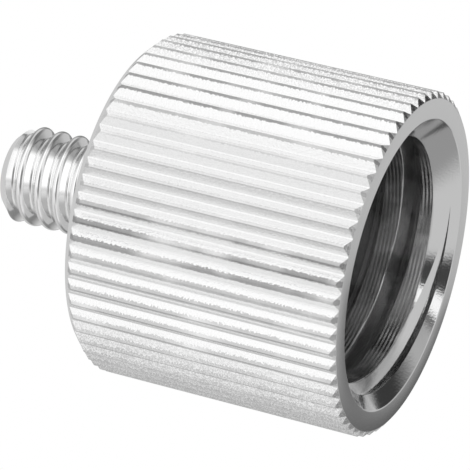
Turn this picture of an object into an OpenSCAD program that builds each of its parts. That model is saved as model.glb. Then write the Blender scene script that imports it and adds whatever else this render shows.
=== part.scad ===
// Thread adapter turned from one bar: a straight-knurled barrel with a threaded socket in its
// mouth and a threaded stud on its back. The socket is drawn as its plain bore and the stud as a
// plain pin, without their threads.
// It stands on the flat ring round its mouth, with the stud pointing up along Z.
// Origin: centre of the mouth ring. Units: millimetres.

/* [Threaded socket] */
// Diameter of the bore, across the crests of the coarse thread that is cut into its wall
socket_d = 15.8; // [14:0.1:20]
// Width and depth of the 45 degree countersink at the mouth
countersink = 1.4; // [0.6:0.1:2]
// Diameter of the drill point at the end of the bore
drill_d = 13.5; // [10:0.1:14]
// Full angle of the drill point
drill_angle = 118; // [110:1:150]
// Metal left between the tip of the drill point and the back face
web_t = 2.4; // [1.5:0.1:6]

/* [Knurled barrel] */
// Width of the flat ring round the mouth, which the adapter stands on
ring_w = 1.28; // [0.8:0.02:3]
// Length of the barrel, from the mouth ring to the back face
body_l = 18.4; // [15:0.1:26]
// Number of straight ridges round the barrel
knurl_count = 60; // [48:1:72]
// Depth of the knurl, from crest to valley
knurl_depth = 0.4; // [0.25:0.01:0.45]
// Width of the narrow flat along the top of each ridge
knurl_crest_w = 0.14; // [0.08:0.01:0.24]
// Width of the narrow flat along the bottom of each valley
knurl_valley_w = 0.06; // [0.04:0.01:0.12]
// How far the chamfer at the mouth cuts in from the crests of the knurl
mouth_chamfer_w = 0.42; // [0.3:0.01:0.6]
// How far the chamfer at the mouth runs along the barrel
mouth_chamfer_l = 0.3; // [0.2:0.01:0.6]
// Width and length of the 45 degree chamfer round the back face
back_chamfer = 0.8; // [0.5:0.05:1.2]

/* [Threaded stud, 1/4 inch, 20 threads to the inch] */
// Diameter over the thread
stud_d = 6.35; // [6:0.01:6.4]
// Length of the stud, from the back face to its tip
stud_l = 8.6; // [5:0.1:12]
// Width and length of the 45 degree chamfer at the stud's tip
stud_chamfer = 0.8; // [0.4:0.05:1]

/* [Hidden] */

// Facets round a full circle, and a small overshoot that keeps cuts clean
round_fn = 96;
over = 0.5;

// Radii from the bore outwards: bore, countersink, flat ring, barrel
socket_r = socket_d / 2;
mouth_r = socket_r + countersink;
ring_r = mouth_r + ring_w;
body_r = ring_r + mouth_chamfer_w;
valley_r = body_r - knurl_depth;
drill_r = drill_d / 2;
stud_r = stud_d / 2;

drill_l = drill_r / tan(drill_angle / 2);
bore_end_z = body_l - web_t - drill_l;
total_l = body_l + stud_l;

// Angle that a width w takes up on a circle of radius r
function span(w, r) = 2 * asin(w / (2 * r));

function on_circle(r, a) = [r * cos(a), r * sin(a)];

// The four corners of the ridge centred on angle a: up one flank, along the crest and down again
function ridge(a) =
    let (
        pitch = 360 / knurl_count,
        crest = span(knurl_crest_w, body_r) / 2,
        valley = (pitch - span(knurl_valley_w, valley_r)) / 2
    )
    [
        on_circle(valley_r, a - valley),
        on_circle(body_r, a - crest),
        on_circle(body_r, a + crest),
        on_circle(valley_r, a + valley)
    ];

function knurl_outline() = [for (i = [0 : knurl_count - 1]) each ridge(i * 360 / knurl_count)];

// The barrel's ridged bar, as long as the barrel
module knurled_bar() {
    linear_extrude(height = body_l)
        polygon(knurl_outline());
}

// Turned outline that chamfers both ends of the knurl: the ridges end in small triangles at the
// mouth and under a smooth cone at the back
module barrel_envelope() {
    rotate_extrude($fn = round_fn)
        polygon([
            [0, 0],
            [ring_r, 0],
            [ring_r + mouth_chamfer_w + over, mouth_chamfer_l * (1 + over / mouth_chamfer_w)],
            [body_r + over, body_l - back_chamfer - over],
            [body_r - back_chamfer, body_l],
            [0, body_l]
        ]);
}

// The whole hollow, turned from one outline: countersink, bore and drill point
module socket_cut() {
    rotate_extrude($fn = round_fn)
        polygon([
            [0, -over],
            [mouth_r + over, -over],
            [socket_r, countersink],
            [socket_r, bore_end_z],
            [drill_r, bore_end_z],
            [0, bore_end_z + drill_l]
        ]);
}

// The stud, rooted in the barrel and chamfered at its tip
module stud() {
    rotate_extrude($fn = round_fn)
        polygon([
            [0, body_l - over],
            [stud_r, body_l - over],
            [stud_r, total_l - stud_chamfer],
            [stud_r - stud_chamfer, total_l],
            [0, total_l]
        ]);
}

module adapter_body() {
    color([0.86, 0.86, 0.87]) {
        difference() {
            intersection() {
                knurled_bar();
                barrel_envelope();
            }
            socket_cut();
        }
        stud();
    }
}

adapter_body();
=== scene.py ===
# %% [markdown]
# # A bright threaded adapter
# The real thing is turned from one metal bar: a knurled barrel with a threaded socket in its
# mouth, and a slim threaded stud on its back. It is plated, so almost all of its look comes from
# crisp edges and from what the metal mirrors. The shape is therefore built very cleanly first,
# and the studio round it is built as carefully as the part.

# %% Load the frame
import math

import bpy
import bmesh
from mathutils import Matrix, Vector


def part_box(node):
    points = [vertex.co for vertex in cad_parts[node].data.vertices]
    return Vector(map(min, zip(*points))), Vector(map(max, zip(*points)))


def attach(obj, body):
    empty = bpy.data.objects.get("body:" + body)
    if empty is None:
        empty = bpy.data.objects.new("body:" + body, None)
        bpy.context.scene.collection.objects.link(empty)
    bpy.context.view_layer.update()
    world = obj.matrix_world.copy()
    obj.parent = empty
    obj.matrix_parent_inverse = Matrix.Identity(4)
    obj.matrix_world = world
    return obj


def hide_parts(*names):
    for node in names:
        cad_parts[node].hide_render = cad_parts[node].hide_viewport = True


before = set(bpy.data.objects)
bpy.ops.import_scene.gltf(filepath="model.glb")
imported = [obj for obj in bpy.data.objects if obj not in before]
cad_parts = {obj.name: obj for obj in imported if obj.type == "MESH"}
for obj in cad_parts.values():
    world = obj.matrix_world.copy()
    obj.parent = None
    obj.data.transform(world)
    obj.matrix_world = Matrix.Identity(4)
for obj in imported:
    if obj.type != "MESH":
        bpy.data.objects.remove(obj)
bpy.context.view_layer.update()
MM = 0.001
low, high = (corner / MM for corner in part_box("adapter_body"))
print("the body is", [round(b - a, 2) for a, b in zip(low, high)], "mm")

# %% [markdown]
# ## The sizes
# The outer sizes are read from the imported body, so the dressed part can't drift away from it. The
# rest are the turner's own numbers: the ring that the part stands on, the countersink and bore,
# and how deep the knurl bites. Blender's cutting tools lose their grip on shapes a few
# hundredths of a millimetre wide, so one unit is one millimetre until the piece is finished, and
# the finished piece is shrunk a thousand times.

# %% Sizes of the turned outline
knurl_r = (high.x - low.x) / 2
stud_tip = high.z
stud_len = 8.6
back_z = stud_tip - stud_len
knurl_depth = 0.4
valley_r = knurl_r - knurl_depth
mouth_chamfer_w = 0.42
ring_r = knurl_r - mouth_chamfer_w
mouth_chamfer = 0.3
back_chamfer = 0.8
mouth_r = 9.3
bore_r = 7.9
sink = mouth_r - bore_r
edge_break = 0.06
bore_end = 11.94
drill_r = 6.75
drill_tip = 16.0
stud_r = 3.175
stud_chamfer = 0.8
# Points closer than this are taken as one place
TOUCH = 0.001
print("barrel", round(back_z, 2), "mm long, knurl", round(2 * knurl_r, 2), "mm across")

# %% [markdown]
# ## Helpers for edit mode
# Every surface here is drawn the way a lathe makes it: take a ring of points, extrude it, then
# resize it and slide it along the axis. Blender's operators act on whatever is selected, so each
# helper clears the selection first and picks its own points by their place.


# %% Select points by place
def deselect_all():
    if bpy.context.mode != "OBJECT":
        bpy.ops.object.mode_set(mode="OBJECT")
    bpy.ops.object.select_all(action="DESELECT")


def only(piece):
    deselect_all()
    piece.select_set(True)
    bpy.context.view_layer.objects.active = piece


def pick(piece, test):
    """Selects the points of the piece, in edit mode, for which test(place) is true."""
    bpy.ops.mesh.select_all(action="DESELECT")
    mesh = bmesh.from_edit_mesh(piece.data)
    for vert in mesh.verts:
        vert.select_set(test(vert.co))
    mesh.select_flush(True)
    bmesh.update_edit_mesh(piece.data)
    return sum(v.select for v in mesh.verts)


# %% Take the lathe one step on
def turn_to(radius_now, radius_next, slide):
    """Extrudes the selected ring, gives it its next radius and slides it along the axis."""
    bpy.ops.mesh.extrude_edges_move(TRANSFORM_OT_translate={"value": (0, 0, slide)})
    k = radius_next / radius_now
    bpy.ops.transform.resize(value=(k, k, 1), center_override=(0, 0, 0))


# %% [markdown]
# ## The knurl
# The knurling wheels pressed sixty straight ridges into the bar. One way to model them is to
# array one tooth, but then the turned surfaces would be cut into sixty slices. Instead the whole
# circle gets twelve points per ridge, and the points are moved in or out by kind, so that each
# flank is a true flat and the circle stays one clean loop from the mouth to the back.

# %% The radius of each kind of point on a ridge
RIDGES = 60
PER_RIDGE = 12
STEP = 360 / (RIDGES * PER_RIDGE)


def flat_flank(offset):
    """Distance from the axis to a flank that runs straight from the crest to the valley."""
    a, b = math.radians(STEP / 2), math.radians(offset)
    c = math.radians(180 / RIDGES - STEP / 2)
    top = Vector((knurl_r * math.cos(a), knurl_r * math.sin(a)))
    foot = Vector((valley_r * math.cos(c), valley_r * math.sin(c)))
    run = foot - top
    return (top.y * run.x - top.x * run.y) / (math.sin(b) * run.x - math.cos(b) * run.y)


offsets = [STEP * (i + 0.5) for i in range(PER_RIDGE // 2)]
kinds = [(o, flat_flank(o)) for o in offsets]
for o, r in kinds:
    print("point at", o, "degrees from the crest: radius", round(r, 3), "mm")


# %% Find the kind of a point from its angle
def from_crest(place):
    angle = math.degrees(math.atan2(place.y, place.x)) % (360 / RIDGES)
    return min(angle, 360 / RIDGES - angle)


def is_kind(place, offset):
    return abs(from_crest(place) - offset) < STEP * 0.3


# %% [markdown]
# ## The barrel's outside
# The loop starts on the outer edge of the flat ring, where it is still round. It is extruded out
# to the knurl, each kind of point climbing the mouth's small chamfer as far as its own radius
# takes it, then up the barrel, then in again over the back chamfer. That is exactly where a
# turned cone meets each ridge, so the little triangles at the ends of the teeth come by themselves.

# %% Start the loop at the ring's outer edge
deselect_all()
bpy.ops.mesh.primitive_circle_add(
    vertices=RIDGES * PER_RIDGE,
    radius=ring_r,
    fill_type="NOTHING",
    rotation=(0, 0, math.radians(STEP / 2)),
)
barrel = bpy.context.object
barrel.name = "adapter"
bpy.ops.object.transform_apply(location=True, rotation=True, scale=True)
bpy.ops.object.mode_set(mode="EDIT")
bpy.ops.mesh.select_mode(type="VERT")
print("loop of", pick(barrel, lambda p: True), "points")

# %% Out over the mouth chamfer, kind by kind
turn_to(ring_r, knurl_r, mouth_chamfer)
for offset, radius in kinds:
    pick(barrel, lambda p: is_kind(p, offset) and p.xy.length > (ring_r + knurl_r) / 2)
    climb = mouth_chamfer * (radius - ring_r) / (knurl_r - ring_r)
    k = radius / knurl_r
    bpy.ops.transform.resize(value=(k, k, 1), center_override=(0, 0, 0))
    bpy.ops.transform.translate(value=(0, 0, climb - mouth_chamfer))
print("the teeth end in triangles", mouth_chamfer, "mm long")

# %% Up the barrel to the back chamfer
pick(barrel, lambda p: p.xy.length > ring_r + 0.005)
bpy.ops.mesh.extrude_edges_move(TRANSFORM_OT_translate={"value": (0, 0, back_z / 2)})
for offset, radius in kinds:
    pick(barrel, lambda p: is_kind(p, offset) and p.z > back_z / 3)
    start = mouth_chamfer * (radius - ring_r) / (knurl_r - ring_r) + back_z / 2
    end = back_z - back_chamfer + (knurl_r - radius)
    bpy.ops.transform.translate(value=(0, 0, end - start))
print("flanks run up to", round(back_z - back_chamfer, 2), "mm")

# %% In over the back chamfer
pick(barrel, lambda p: p.z > back_z / 2)
back_r = knurl_r - back_chamfer
turn_to(knurl_r, back_r, 0)
for offset, radius in kinds:
    pick(barrel, lambda p: is_kind(p, offset) and p.z > back_z / 2 and p.xy.length < valley_r - 0.1)
    height = back_z - back_chamfer + (knurl_r - radius)
    k = knurl_r / radius
    bpy.ops.transform.resize(value=(k, k, 1), center_override=(0, 0, 0))
    bpy.ops.transform.translate(value=(0, 0, back_z - height))
print("back chamfer closes on", round(2 * back_r, 2), "mm")

# %% Across the back face
centre_r = 1.2
pick(barrel, lambda p: p.z > back_z - TOUCH)
turn_to(back_r, stud_r, 0)
turn_to(stud_r, centre_r, 0)
bpy.ops.mesh.edge_face_add()
print("the back face is closed under the stud")

# %% [markdown]
# ## The flat ring, the countersink and the bore
# The same loop goes the other way from the ring's outer edge: flat across the ring, down the 45
# degree countersink, along the bored wall and into the drill's cone. Turned edges are never razor
# sharp, so the ring's inner edge gets a tiny bevel, which is what makes it shine as a thin line.

# %% Inwards from the ring's outer edge
point_r = 0.3
point_share = 0.97
pick(barrel, lambda p: abs(p.z) < TOUCH and abs(p.xy.length - ring_r) < TOUCH)
turn_to(ring_r, mouth_r, 0)
turn_to(mouth_r, bore_r, sink)
turn_to(bore_r, bore_r, bore_end - sink)
turn_to(bore_r, drill_r, 0)
turn_to(drill_r, point_r, (drill_tip - bore_end) * point_share)
bpy.ops.mesh.merge(type="CENTER")
print("socket turned to", round(drill_tip, 2), "mm deep")


# %% Break the ring's inner edge
def pick_edges(piece, test):
    """Selects the edges of the piece whose two ends both pass the test."""
    bpy.ops.mesh.select_all(action="DESELECT")
    mesh = bmesh.from_edit_mesh(piece.data)
    count = 0
    for edge in mesh.edges:
        if all(test(v.co) for v in edge.verts):
            edge.select_set(True)
            count += 1
    bmesh.update_edit_mesh(piece.data)
    return count


bpy.ops.mesh.select_mode(type="EDGE")
inner = pick_edges(barrel, lambda p: abs(p.z) < TOUCH and abs(p.xy.length - mouth_r) < TOUCH)
bpy.ops.mesh.bevel(offset=edge_break, segments=5, affect="EDGES")
bpy.ops.mesh.select_mode(type="VERT")
bpy.ops.mesh.select_all(action="SELECT")
bpy.ops.mesh.remove_doubles(threshold=0.0005)
bpy.ops.mesh.normals_make_consistent(inside=False)
bpy.ops.object.mode_set(mode="OBJECT")
print("barrel:", len(barrel.data.polygons), "faces,", inner, "edges broken")

# %% [markdown]
# ## Threads
# A thread is one profile, a single pitch tall, swept round the axis while it climbs. The Screw
# modifier does just that: the top of one turn lands on the foot of the next, so the turns join
# into one skin, which is cut off flat and capped at both ends. It winds anticlockwise as it
# climbs, which makes a right-hand thread.


# %% Draw a profile, point by point
def draw_line(name, points):
    deselect_all()
    bpy.ops.mesh.primitive_plane_add(size=1)
    piece = bpy.context.object
    piece.name = name
    bpy.ops.object.mode_set(mode="EDIT")
    bpy.ops.mesh.select_mode(type="VERT")
    bpy.ops.mesh.select_all(action="SELECT")
    bpy.ops.mesh.merge(type="CENTER")
    places = [Vector((r, 0, z)) for r, z in points]
    bpy.ops.transform.translate(value=places[0])
    for here, there in zip(places, places[1:]):
        bpy.ops.mesh.extrude_vertices_move(TRANSFORM_OT_translate={"value": there - here})
    return piece


# %% Sweep it into a threaded bar
def threaded_bar(name, profile, pitch, turns, steps, foot, top):
    """Sweeps a one-pitch profile up the axis and caps it between two heights."""
    piece = draw_line(name, profile)
    bpy.ops.object.mode_set(mode="OBJECT")
    sweep = piece.modifiers.new("Sweep", "SCREW")
    sweep.axis = "Z"
    sweep.angle = 2 * math.pi
    sweep.screw_offset = pitch
    sweep.iterations = turns
    sweep.steps = sweep.render_steps = steps
    bpy.ops.object.modifier_apply(modifier=sweep.name)
    bpy.ops.object.mode_set(mode="EDIT")
    bpy.ops.mesh.select_all(action="SELECT")
    bpy.ops.mesh.remove_doubles(threshold=0.0005)
    for height, clear_top in ((foot, False), (top, True)):
        bpy.ops.mesh.select_all(action="SELECT")
        bpy.ops.mesh.bisect(
            plane_co=(0, 0, height),
            plane_no=(0, 0, 1),
            clear_inner=not clear_top,
            clear_outer=clear_top,
        )
        pick(piece, lambda p: abs(p.z - height) < 0.0001)
        bpy.ops.mesh.edge_face_add()
    bpy.ops.mesh.select_all(action="SELECT")
    bpy.ops.mesh.normals_make_consistent(inside=False)
    bpy.ops.object.mode_set(mode="OBJECT")
    return piece


# %% [markdown]
# ## The stud's thread
# A rolled thread has soft, rounded crests and a rounded root between flanks that open at sixty
# degrees. The profile is drawn from its two roundings, starting and ending in the root.
# The thread begins where its valleys meet the ones that the photograph shows.

# %% The stud's profile, one pitch tall
STUD_PITCH = 1.27
stud_deep = 0.6
crest_round = 0.3
root_round = 0.2
stud_start = back_z - 1.5 * STUD_PITCH - 0.33


def stud_profile(start):
    root = stud_r - stud_deep
    middle = STUD_PITCH / 2
    arc = [math.radians(angle) for angle in range(0, 61, 10)]
    half = [(root + root_round * (1 - math.cos(t)), root_round * math.sin(t)) for t in arc]
    for t in reversed(arc):
        half.append((stud_r - crest_round * (1 - math.cos(t)), middle - crest_round * math.sin(t)))
    other = [(r, STUD_PITCH - z) for r, z in reversed(half[:-1])]
    return [(r, start + z) for r, z in half + other]


stud = threaded_bar(
    "stud", stud_profile(stud_start), STUD_PITCH, turns=9, steps=180, foot=back_z - 0.5, top=stud_tip + 0.5
)
print("stud:", len(stud.data.polygons), "faces")


# %% Check that it climbs anticlockwise
def crest_heights(piece, radius, degrees):
    """Heights of the points on the crest line at one angle round the axis, in millimetres."""
    found = []
    for place in (v.co for v in piece.data.vertices):
        angle = math.degrees(math.atan2(place.y, place.x)) % 360
        if place.xy.length > radius and abs(angle - degrees) < 0.5:
            found.append(round(place.z, 3))
    return sorted(found)


print("at +X", crest_heights(stud, stud_r - TOUCH, 0)[:3])
print("a quarter turn on", crest_heights(stud, stud_r - TOUCH, 90)[:3])

# %% [markdown]
# ## The stud's tip
# The bar's end was chamfered before it was rolled, so the thread fades out on a cone. A turned
# blank with that chamfer is modelled from a cylinder, and the thread keeps only what lies inside.

# %% A chamfered blank for the tip
deselect_all()
spare = 0.3
blank_len = stud_len + 2
bpy.ops.mesh.primitive_cylinder_add(
    vertices=180, radius=stud_r + spare, depth=blank_len, location=(0, 0, stud_tip - blank_len / 2)
)
blank = bpy.context.object
bpy.ops.object.transform_apply(location=True, rotation=True, scale=True)
bpy.ops.object.mode_set(mode="EDIT")
pick(blank, lambda p: p.z > stud_tip - 0.01)
bpy.ops.mesh.bevel(offset=stud_chamfer + spare, segments=1, affect="EDGES")
bpy.ops.object.mode_set(mode="OBJECT")
tip_radii = [v.co.xy.length for v in blank.data.vertices if v.co.z > stud_tip - TOUCH]
print("blank tip radius", round(min(tip_radii), 3))


# %% Cut one piece with another
def cut(piece, tool, how):
    """Applies a Boolean modifier and takes the tool away."""
    only(piece)
    step = piece.modifiers.new(how.title(), "BOOLEAN")
    step.operation = how
    step.object = tool
    step.solver = "EXACT"
    bpy.ops.object.modifier_apply(modifier=step.name)
    only(tool)
    bpy.ops.object.delete()


cut(stud, blank, "INTERSECT")
print("stud after its tip:", len(stud.data.polygons), "faces")

# %% [markdown]
# ## The socket's thread
# The socket was bored first, which left the fine lines on its wall, and then a single-point tool
# cut a V groove into the bore. So the lined bands are the crests, and the smooth bands are the
# groove's flanks. A threaded bar is modelled as the tap, and cut out of the barrel. Where the
# groove runs out through the countersink it leaves the crescent seen in the mouth.

# %% The tap's profile
SOCKET_PITCH = 2.5
groove_w = 1.3
groove_deep = 0.89
edge_round = 0.12
FLANK = math.tan(math.radians(30))
groove_root_w = groove_w - 2 * groove_deep * FLANK
core_r = bore_r - 0.5
flush_r = bore_r - 0.003
# How far the sharp flank runs on along the axis while it goes in to the core
flank_run = 0.29


def tap_profile(start):
    """A V groove with a small flat root. Its inner edge is rounded and its mouth edge is sharp."""
    middle = SOCKET_PITCH / 2
    mouth_side = middle - groove_w / 2 - flank_run
    deep_r = bore_r + groove_deep
    points = [(core_r, 0), (core_r, mouth_side)]
    points += [(deep_r, middle - groove_root_w / 2), (deep_r, middle + groove_root_w / 2)]
    foot = middle + groove_w / 2 + edge_round * FLANK
    for angle in (60, 50, 40, 30, 20, 10, 4):
        t = math.radians(angle)
        points.append((flush_r + edge_round * (1 - math.cos(t)), foot - edge_round * math.sin(t)))
    points += [(core_r, foot + 0.1), (core_r, SOCKET_PITCH)]
    return [(r, start + z) for r, z in points]


# The groove's middle is this deep at the far side of the bore, ten degrees past +Y
GROOVE_AT = 3.16
GROOVE_ANGLE = 100
THREAD_RELIEF = 1.2
shift = GROOVE_AT - SOCKET_PITCH * GROOVE_ANGLE / 360
tap_start = shift - SOCKET_PITCH / 2 - 3 * SOCKET_PITCH
tap = threaded_bar(
    "tap", tap_profile(tap_start), SOCKET_PITCH, turns=8, steps=720, foot=-1.0, top=bore_end - THREAD_RELIEF
)
print("tap:", len(tap.data.polygons), "faces, groove", round(groove_deep, 2), "mm deep")

# %% Cut the thread
cut(barrel, tap, "DIFFERENCE")
print("barrel after its thread:", len(barrel.data.polygons), "faces")

# %% [markdown]
# ## One piece
# The stud and the barrel are one piece of metal, so the two meshes are joined and take the place
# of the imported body. Only edges sharper than twelve degrees stay crisp: the flanks of the knurl
# and the turned corners. Everything that a lathe made round is shaded smooth.

# %% Join and shade
only(barrel)
stud.select_set(True)
bpy.ops.object.join()
barrel.scale = (MM, MM, MM)
bpy.ops.object.transform_apply(location=True, rotation=True, scale=True)
bpy.ops.object.shade_smooth_by_angle(angle=math.radians(12))
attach(barrel, "root")
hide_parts("adapter_body")
print("adapter:", sum(len(p.vertices) - 2 for p in barrel.data.polygons), "triangles")

# %% [markdown]
# ## Helpers for materials
# A material is a chain of small nodes. Each helper makes one node in the tree that is being worked
# on, wires it up and hands back its result, so that a rule about the surface reads as one line.
# Patterns use Object coordinates, so they stay on the piece.


# %% Make nodes in the tree in hand
def work_on(tree):
    """Points the helpers below at one node tree."""
    global nodes, links
    nodes, links = tree.nodes, tree.links


def add(kind, **settings):
    node = nodes.new(kind)
    for name, value in settings.items():
        setattr(node, name, value)
    return node


def give(node_input, value):
    """Sets a plain number on an input, or wires another node's result to it."""
    if not isinstance(value, (int, float)):
        links.new(value, node_input)
    elif node_input.type == "RGBA":
        node_input.default_value = (value, value, value, 1)
    else:
        node_input.default_value = value


def maths(kind, *values):
    node = add("ShaderNodeMath", operation=kind)
    for node_input, value in zip(node.inputs, values):
        give(node_input, value)
    return node.outputs[0]


def between(value, low_end, high_end, to_low=0.0, to_high=1.0):
    """Goes from one level to another as the value goes from low_end to high_end."""
    node = add("ShaderNodeMapRange")
    names = ("Value", "From Min", "From Max", "To Min", "To Max")
    for name, number in zip(names, (value, low_end, high_end, to_low, to_high)):
        give(node.inputs[name], number)
    return node.outputs["Result"]


def mix_colour(share, a, b):
    node = add("ShaderNodeMix", data_type="RGBA")
    give(node.inputs["Factor"], share)
    give(node.inputs[6], a)
    give(node.inputs[7], b)
    return node.outputs[2]


def noise(scale, detail=2):
    node = add("ShaderNodeTexNoise")
    give(node.inputs["Scale"], scale)
    give(node.inputs["Detail"], detail)
    give(node.inputs["Vector"], add("ShaderNodeTexCoord").outputs["Object"])
    return node.outputs["Fac"]


# %% Find a place, and grade by it
def axes_of(coordinates="Object"):
    split = add("ShaderNodeSeparateXYZ")
    give(split.inputs[0], add("ShaderNodeTexCoord").outputs[coordinates])
    return split.outputs


def from_axis(x, y):
    return maths("SQRT", maths("ADD", maths("MULTIPLY", x, x), maths("MULTIPLY", y, y)))


def turn_of(y, x):
    """The angle of a place, as 0 to 1 for -180 to 180 degrees."""
    return maths("ADD", maths("DIVIDE", maths("ARCTAN2", y, x), 2 * math.pi), 0.5)


def deg(*pairs):
    """Ramp points whose places are given in degrees from -180 to 180."""
    return [((angle + 180) / 360, level) for angle, level in pairs]


def ramp_of(value, points):
    """A ramp through grey levels, given as pairs of place and level."""
    node = add("ShaderNodeValToRGB")
    band = node.color_ramp.elements
    band.remove(band[-1])
    band[0].position = points[0][0]
    band[0].color = (points[0][1],) * 3 + (1,)
    for at, level in points[1:]:
        band.new(at).color = (level,) * 3 + (1,)
    give(node.inputs["Fac"], value)
    return node.outputs["Color"]


# %% [markdown]
# ## Bright plate
# Bright nickel is nearly a mirror, so its colour is a pale grey, and most of the look is what it
# mirrors; some light and shade is painted into the colour, though: deeper in the socket, round the
# stud, and on the knurl. The bore keeps the boring tool's feed lines, a quarter of a millimetre
# apart. The knurling wheels left a dull, ragged burr along the crests and small pits between them,
# and how dark they are at each bearing round the bar is painted shade. Both effects are groups,
# and each mask in them follows the angle and the distance from the axis.

# %% A group that draws turned lines
FEED = 0.25 * MM


def socket(group, name, way, value=None):
    made = group.interface.new_socket(name=name, in_out=way, socket_type="NodeSocketFloat")
    if value is not None:
        made.default_value = value


def turned_lines():
    """Height of the lines that a boring tool leaves as it feeds along the axis."""
    group = bpy.data.node_groups.new("Turned lines", "ShaderNodeTree")
    socket(group, "Feed", "INPUT", FEED)
    socket(group, "Wander", "INPUT", 0.3)
    socket(group, "Height", "OUTPUT")
    work_on(group)
    start, end = add("NodeGroupInput"), add("NodeGroupOutput")
    turns = maths("DIVIDE", axes_of()["Z"], start.outputs["Feed"])
    wander = maths("MULTIPLY_ADD", noise(900), start.outputs["Wander"], turns)
    give(end.inputs["Height"], maths("PINGPONG", wander, 0.5))
    return group


lines = turned_lines()
print("group", lines.name, "with", len(lines.nodes), "nodes")

# %% The knurl's burr and pits, with painted shade graded round the bar
# The burr and pits are real, but how wide and dark they are at each bearing round the bar is painted shade.
burr_painted_reach = deg((-180, 0.7), (-140, 1.0), (-97, 0.9), (-90, 0.6), (120, 0.6), (179, 1.0))
burr_painted_shade = deg(
    (-180, 0.15), (-160, 0.2), (-145, 0.35), (-135, 0.5), (-112, 0.58), (-106, 0.9),
    (-98, 0.8), (-92, 0.25), (-64, 0.25), (-57, 0.9), (-35, 0.85), (-20, 0.7),
    (20, 0.7), (60, 0.5), (120, 0.7), (179, 0.15),
)
pit_painted_shade = deg(
    (-180, 0.6), (-150, 0.75), (-134, 0.05), (-100, 0.04), (-88, 0.1), (-66, 0.1), (-58, 0.03),
    (-36, 0.1), (-24, 0.8), (0, 1.0), (30, 0.4), (90, 0.2), (150, 0.5), (179, 0.8),
)
print("the knurl's burr and shade is graded at", len(burr_painted_shade), "bearings")


# %% A group that finds burr and pits on the knurl, with painted shade by bearing
def knurl_burr():
    """Masks of the ragged burr along the crests and of the pits, both with painted shade by bearing, and of
    the knurl as a whole.
    """
    group = bpy.data.node_groups.new("Knurl burr and shade", "ShaderNodeTree")
    socket(group, "Width", "INPUT", 0.13)
    socket(group, "Grain", "INPUT", 9500)
    for name in ("Burr and shade", "Pits and shade", "Knurl"):
        socket(group, name, "OUTPUT")
    work_on(group)
    start, end = add("NodeGroupInput"), add("NodeGroupOutput")
    x, y = axes_of()[:2]
    bearing = turn_of(y, x)
    knurl = between(from_axis(x, y), (ring_r + 0.012) * MM, (ring_r + 0.02) * MM)
    ridge = maths("MULTIPLY", maths("ARCTAN2", y, x), RIDGES / (2 * math.pi))
    from_crest_line = maths("PINGPONG", ridge, 0.5)
    grain = noise(start.outputs["Grain"], 3)
    ragged = maths("MULTIPLY", start.outputs["Width"], maths("MULTIPLY_ADD", grain, 2.6, 0.3))
    reach = maths("MULTIPLY", ragged, ramp_of(bearing, burr_painted_reach))
    near_crest = maths("SUBTRACT", 1, maths("DIVIDE", from_crest_line, reach))
    burr = maths("MULTIPLY", between(near_crest, 0.0, 0.25), between(noise(260), 0.2, 0.5))
    # Painted shade: the burr is darkened more at some bearings than at others.
    burr = maths("MULTIPLY", maths("MULTIPLY", burr, knurl), ramp_of(bearing, burr_painted_shade))
    # Painted shade: the pits are darkened by bearing as well.
    pits = maths("MULTIPLY", between(grain, 0.42, 0.56), ramp_of(bearing, pit_painted_shade))
    give(end.inputs["Burr and shade"], burr)
    give(end.inputs["Pits and shade"], maths("MULTIPLY", pits, knurl))
    give(end.inputs["Knurl"], knurl)
    return group


burrs = knurl_burr()
print("group", burrs.name, "with", len(burrs.nodes), "nodes")

# %% The plate itself
plate = bpy.data.materials.new("bright nickel plate")
plate.use_nodes = True
work_on(plate.node_tree)
shader = nodes["Principled BSDF"]
shader.inputs["Metallic"].default_value = 1
burr = add("ShaderNodeGroup", node_tree=burrs)
burr.inputs["Width"].default_value = 0.13
burr.inputs["Grain"].default_value = 9500
feed = add("ShaderNodeGroup", node_tree=lines)
feed.inputs["Feed"].default_value = FEED
print("the plate starts with", len(nodes), "nodes")

# %% Where on the part a point lies
x, y, z = axes_of()
away = from_axis(x, y)
below_roof = between(z, 18 * MM, 17.9 * MM)
past_sink = maths("MULTIPLY", between(z, 1.3 * MM, 1.5 * MM), below_roof)
in_socket = maths("MULTIPLY", between(away, 9.1 * MM, 9.0 * MM), past_sink)
on_wall = maths("COMPARE", away, bore_r * MM, 0.02 * MM)
on_cone = maths("MULTIPLY", between(away, 9.35 * MM, 9.25 * MM), between(z, 1.45 * MM, 1.35 * MM))
above_back = between(z, (back_z + 0.02) * MM, (back_z + 0.05) * MM)
below_tip = between(z, (stud_tip - 0.5) * MM, (stud_tip - 0.9) * MM)
on_stud = maths("MULTIPLY", maths("MULTIPLY", above_back, below_tip), between(away, 3.4 * MM, 3.3 * MM))
print("the plate knows its socket, wall, cone and stud")

# %% Colour: bright outside, duller in the bore, with painted shade deeper in the socket, painted light and shade round the stud, and dull burrs and pits with painted shade
OUTSIDE, SOCKET_GREY, DEPTH_SHADE_GREY, STAIN_GREY, PIT_AND_SHADE_GREY, BURR_AND_SHADE_GREY = 0.93, 0.85, 0.45, 0.3, 0.62, 0.27
# Painted light and shade: the stud's colour is lighter on one side and darker on the other, graded by bearing
# round it.
stud_painted_sides = [(0.19, 0.84), (0.22, 1), (0.33, 1), (0.355, 0.55), (0.66, 0.55), (0.8, 0.84)]
stud_painted_shade = ramp_of(turn_of(y, x), stud_painted_sides)
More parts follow.
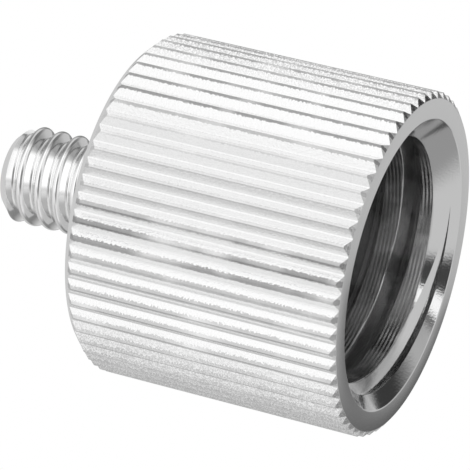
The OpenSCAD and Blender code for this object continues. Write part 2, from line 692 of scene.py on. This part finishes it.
# Painted shade: the socket's colour darkens the deeper it goes.
deep = maths("MULTIPLY", between(z, 2 * MM, 9 * MM, 0.0, 0.7), in_socket)
stain = maths("MULTIPLY", between(noise(420, 5), 0.5, 0.62), maths("MULTIPLY", in_socket, 0.6))
base = mix_colour(in_socket, OUTSIDE, SOCKET_GREY)
for mask, grey in (
    (on_stud, stud_painted_shade),
    (deep, DEPTH_SHADE_GREY),
    (stain, STAIN_GREY),
    # The pits and the burr carry painted shade by bearing as well as their own dull grey.
    (burr.outputs["Pits and shade"], PIT_AND_SHADE_GREY),
    (burr.outputs["Burr and shade"], BURR_AND_SHADE_GREY),
):
    base = mix_colour(mask, base, grey)
give(shader.inputs["Base Color"], base)
rough = between(burr.outputs["Knurl"], 0, 1, 0.1, 0.2)
give(shader.inputs["Roughness"], maths("ADD", rough, maths("MULTIPLY", in_socket, 0.12)))
print("colour goes through", len(nodes), "nodes")

# %% Relief: tool lines in the bore, grain on the knurl
cuts = maths("MULTIPLY", maths("MULTIPLY", feed.outputs["Height"], on_wall), 1.9)
grainy = maths("ADD", maths("MULTIPLY", burr.outputs["Knurl"], 0.5), maths("MULTIPLY", on_cone, 0.16))
pits = maths("MULTIPLY", noise(7000, 3), grainy)
bump = add("ShaderNodeBump")
bump.inputs["Distance"].default_value = 0.05 * MM
bump.inputs["Strength"].default_value = 0.6
give(bump.inputs["Height"], maths("ADD", cuts, pits))
give(shader.inputs["Normal"], bump.outputs["Normal"])
barrel.data.materials.clear()
barrel.data.materials.append(plate)
print("material", plate.name, "with", len(nodes), "nodes")

# %% [markdown]
# ## The floor
# The part stands on the ring round its mouth, and the photograph looks up into the mouth from
# below. A glass table would do that in a studio. Here the floor is seen from above only: its
# underside is clear, and it has a round hole under the ring, a little wider than the knurl, so
# that light reaches the mouth and the ends of the teeth mirror the room below. A thin collar
# closes the hole for the camera only. Where metal mirrors the floor, the floor has a few darker
# fields, as a table with dark cards on it would.


# %% A flat sheet with a round hole
PAPER = 0.86
hole_r = 11.05
foot_r = 10.57
floor_z = -0.02


def flat_sheet(name, *radii):
    """A flat sheet under the part, drawn outwards ring by ring and facing up."""
    deselect_all()
    place = (0, 0, floor_z * MM)
    bpy.ops.mesh.primitive_circle_add(vertices=128, radius=radii[0] * MM, fill_type="NOTHING", location=place)
    sheet = bpy.context.object
    sheet.name = name
    bpy.ops.object.transform_apply(location=True, rotation=True, scale=True)
    bpy.ops.object.mode_set(mode="EDIT")
    bpy.ops.mesh.select_all(action="SELECT")
    for inner, outer in zip(radii, radii[1:]):
        turn_to(inner * MM, outer * MM, 0)
    bpy.ops.mesh.select_all(action="SELECT")
    bpy.ops.mesh.normals_make_consistent(inside=False)
    bpy.ops.object.mode_set(mode="OBJECT")
    if sheet.data.polygons[0].normal.z < 0:
        sheet.data.flip_normals()
    return sheet


floor = flat_sheet("floor", hole_r, 60, 2500)
collar = flat_sheet("floor collar", foot_r, hole_r)
collar.visible_glossy = False
print("floor at", round(floor.data.vertices[0].co.z / MM, 3), "mm")

# %% Pale paper, clear from below
paper = bpy.data.materials.new("pale floor")
paper.use_nodes = True
work_on(paper.node_tree)
shader = nodes["Principled BSDF"]
shader.inputs["Roughness"].default_value = 0.9
shader.inputs["Specular IOR Level"].default_value = 0.1
x, y = axes_of()[:2]
fields = ramp_of(
    turn_of(y, x),
    [
        (0, PAPER), (0.1, PAPER), (0.16, 0.24), (0.26, 0.2), (0.32, 0.8), (0.46, PAPER), (0.52, 0.26),
        (0.6, 0.34), (0.66, PAPER), (0.8, 0.8), (0.86, 0.24), (0.93, 0.3), (0.99, PAPER),
    ],
)
ray = add("ShaderNodeLightPath")
give(shader.inputs["Base Color"], mix_colour(ray.outputs["Is Glossy Ray"], PAPER, fields))
clear = add("ShaderNodeBsdfTransparent")
facing = add("ShaderNodeNewGeometry")
mix = add("ShaderNodeMixShader")
give(mix.inputs["Fac"], facing.outputs["Backfacing"])
give(mix.inputs[1], shader.outputs[0])
give(mix.inputs[2], clear.outputs[0])
give(nodes["Material Output"].inputs["Surface"], mix.outputs[0])
for sheet in (floor, collar):
    sheet.data.materials.append(paper)
print("paper with", len(nodes), "nodes")

# %% [markdown]
# ## The camera
# The camera was found by matching the outlines of the knurl, the ring and the stud: a long lens a
# quarter of a metre away, a little below the mouth's plane and rolled until the stud points left.
# It is set here as three directions and one place, seen from the mouth's centre.

# %% Place the camera
PICTURE_PX = 470
LENS_PX = 4087.42
SENSOR = 36
grow = 1.004
right, down, forward = 10.4655 * grow, 1.8843 * grow, 252.14 * grow
tilt, roll, turn = math.radians(20.89), math.radians(13.761), math.radians(-1.0)
up = Vector((-math.cos(tilt) * math.cos(roll), -math.cos(tilt) * math.sin(roll), math.sin(tilt)))
near = (Vector((0, 0, -1)) + up.z * up).normalized()
side = up.cross(near)
# Rows take camera axes (right, down, forward) to the part's axes (X, Y, Z)
to_part = Matrix((side, -near, up))
eye = to_part @ -Vector((right * MM, down * MM, forward * MM))
axes = to_part @ Matrix(((1, 0, 0), (0, -1, 0), (0, 0, -1)))
spin = Matrix.Rotation(turn, 3, "Z")
lens = bpy.data.cameras.new("camera")
camera = bpy.data.objects.new("camera", lens)
bpy.context.collection.objects.link(camera)
camera.matrix_world = Matrix.Translation(spin @ eye) @ (spin @ axes).to_4x4()
lens.sensor_width = SENSOR
lens.lens = LENS_PX * SENSOR / PICTURE_PX
lens.clip_start = 0.01
bpy.context.scene.camera = camera
print("camera at", [round(c / MM, 1) for c in camera.location], "lens", round(lens.lens, 1))

# %% [markdown]
# ## The studio
# A mirror-like part shows the room, not its own colour. The room is a white tent with grey cards
# on the walls, a graded roof overhead, and dark gaps between the cards below, which the mouth
# mirrors. It is drawn in the world by direction. Only mirrored light sees the cards: dull
# surfaces get an even white, and the camera itself sees plain white.

# %% The walls and the roof, by bearing
world = bpy.data.worlds.new("studio")
bpy.context.scene.world = world
world.use_nodes = True
work_on(world.node_tree)
x, y, z = axes_of("Generated")
bearing = turn_of(y, x)
walls = ramp_of(
    bearing,
    deg(
        (-180, 0.62), (-150, 0.62), (-142, 0.84), (-130, 1.02), (-125, 0.8), (-120, 0.8),
        (-114, 1.06), (-103, 1.12), (36, 1.12), (46, 0.75), (58, 0.34), (78, 0.3),
        (95, 0.45), (108, 0.62), (179, 0.62),
    ),
)
overhead = ramp_of(
    bearing,
    deg(
        (-180, 0.78), (-150, 0.88), (-50, 0.84), (-20, 0.4), (30, 0.36), (50, 0.62),
        (140, 0.62), (179, 0.78),
    ),
)
print("walls and roof are drawn")

# %% The cards below, by their lean from straight down
lean = turn_of(x, maths("MULTIPLY", z, -1))
below_front = ramp_of(
    lean,
    deg(
        (-90, 0.3), (-48, 0.3), (-42, 0.56), (-12, 0.56), (-6, 0.05), (8, 0.05), (10, 1.0),
        (19, 1.0), (20.5, 0.08), (23, 0.08), (26, 0.38), (90, 0.38),
    ),
)
below_back = ramp_of(
    lean,
    deg(
        (-90, 0.3), (-48, 0.3), (-40, 0.56), (20, 0.56), (30, 0.4), (38, 0.42), (44, 0.2),
        (50, 0.04), (62, 0.04), (67, 0.4), (90, 0.46),
    ),
)
below = mix_colour(between(y, 0.0, -0.08), below_back, below_front)
print("the cards below are drawn")

# %% Put the room together
CAMERA_WHITE, EVEN_WHITE = 1.0, 1.1
room = mix_colour(between(z, 0.0, 0.12), below, walls)
room = mix_colour(between(z, 0.38, 0.6), room, overhead)
ray = add("ShaderNodeLightPath")
room = mix_colour(ray.outputs["Is Diffuse Ray"], room, EVEN_WHITE)
room = mix_colour(ray.outputs["Is Camera Ray"], room, CAMERA_WHITE)
sky = nodes["Background"]
give(sky.inputs["Color"], room)
sky.inputs["Strength"].default_value = 1
print("world with", len(nodes), "nodes")

# %% [markdown]
# ## The ring's card
# The flat ring mirrors one small patch behind and below the part, so its shading, lighter at one
# end than at the other, comes from a card that stands there. Only mirrored light sees the card.

# %% A graded card
deselect_all()
stand = (0, 60 * MM, -20 * MM)
bpy.ops.mesh.primitive_plane_add(size=1, location=stand, rotation=(math.radians(90), 0, 0))
card = bpy.context.object
card.name = "graded card"
card.scale = (44 * MM, 22 * MM, 1)
bpy.ops.object.transform_apply(location=True, rotation=True, scale=True)
for kind in ("camera", "diffuse", "shadow", "transmission", "volume_scatter"):
    setattr(card, "visible_" + kind, False)
glow = bpy.data.materials.new("graded card")
glow.use_nodes = True
work_on(glow.node_tree)
nodes.remove(nodes["Principled BSDF"])
lamp = add("ShaderNodeEmission")
spot = axes_of()
across = maths("MULTIPLY_ADD", spot["X"], 1 / (28 * MM), 0.5)
high_row = ramp_of(
    across,
    [
        (0.09, 0.08), (0.2, 0.09), (0.27, 0.12), (0.35, 0.16), (0.43, 0.2), (0.5, 0.38),
        (0.56, 0.45), (0.72, 0.5), (1, 0.52),
    ],
)
low_row = ramp_of(across, [(0.09, 0.2), (0.2, 0.32), (0.4, 0.4), (0.6, 0.46), (0.8, 0.49), (1, 0.51)])
rise = between(spot["Z"], -24 * MM, -17 * MM)
give(lamp.inputs["Color"], mix_colour(rise, low_row, high_row))
give(nodes["Material Output"].inputs["Surface"], lamp.outputs[0])
card.data.materials.append(glow)
print("card", [round(c / MM, 1) for c in card.dimensions], "mm")

# %% View settings
bpy.context.scene.view_settings.view_transform = "Standard"
print("view transform", bpy.context.scene.view_settings.view_transform)
